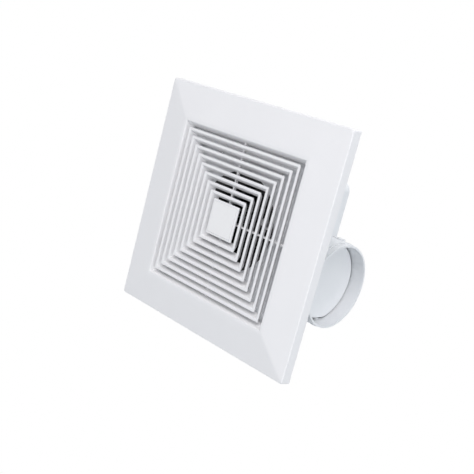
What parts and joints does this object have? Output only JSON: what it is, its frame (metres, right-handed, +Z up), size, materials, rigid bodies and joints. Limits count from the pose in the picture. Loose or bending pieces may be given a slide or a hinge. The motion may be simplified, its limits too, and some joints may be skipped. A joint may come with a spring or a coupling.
{
  "type": "ceiling exhaust fan",
  "caption": "Square white ceiling exhaust fan: bevelled panel with concentric louvres, scroll housing, blower wheel and a round side duct spigot with a backdraught flap.",
  "frame": {"origin": "centre of the ceiling screw pattern on the flange's upper face, which is the ceiling plane", "axes": "+Z up into the ceiling void, the panel faces -Z into the room, +X along the duct outlet"},
  "size_m": [0.28, 0.28, 0.1597],
  "materials": {
    "panel_white": "moulded ABS, satin",
    "housing_white": "moulded ABS, matt",
    "wheel_black": "moulded polypropylene, black",
    "flap_white": "moulded ABS, matt",
    "box_black": "moulded polyamide, black",
    "zinc_steel": "zinc-plated steel",
    "shield_steel": "black stoved paint on pressed steel",
    "lamination": "laminated electrical steel",
    "copper": "enamelled copper wire",
    "bronze": "sintered bronze",
    "rubber_black": "moulded rubber",
    "foam_grey": "closed-cell foam",
    "block_white": "moulded polyamide",
    "capacitor_grey": "potted plastic case"
  },
  "bodies": {
    "housing": {"housing_shell": "housing_white", "scroll_wall": "housing_white", "inlet_plate": "housing_white", "inlet_ring": "wheel_black", "inlet_screws": "zinc_steel", "duct_spigot": "housing_white", "spigot_gasket": "foam_grey", "spigot_screws": "zinc_steel", "motor_lower_shield": "shield_steel", "motor_upper_shield": "shield_steel", "stator_core": "lamination", "stator_windings": "copper", "lower_bearing": "bronze", "upper_bearing": "bronze", "motor_grommets": "rubber_black", "motor_screws": "zinc_steel", "terminal_box": "box_black", "terminal_lid": "box_black", "lid_screws": "zinc_steel", "box_screws": "zinc_steel", "terminal_block": "block_white", "run_capacitor": "capacitor_grey", "cable_grommet": "rubber_black"},
    "rotor": {"motor_shaft": "zinc_steel", "rotor_core": "lamination", "impeller": "wheel_black", "impeller_washer": "zinc_steel", "impeller_nut": "zinc_steel"},
    "damper": {"damper_flap": "flap_white", "damper_axle": "zinc_steel"},
    "panel": {"panel_frame": "panel_white", "louvre_grille": "panel_white", "centre_badge": "panel_white", "panel_springs": "zinc_steel"}
  },
  "joints": [
    {"name": "wheel_spin", "type": "hinge", "parent": "housing", "child": "rotor", "pos_m": [0, 0, 0.06], "axis": [0, 0, -1], "continuous": true},
    {"name": "flap_swing", "type": "hinge", "parent": "housing", "child": "damper", "pos_m": [0.1039, 0.0345, 0.065], "axis": [0, -1, 0], "range_deg": [0, 75]},
    {"name": "panel_pull", "type": "slide", "parent": "housing", "child": "panel", "axis": [0, 0, -1], "range_m": [0, 0.065]}
  ]
}
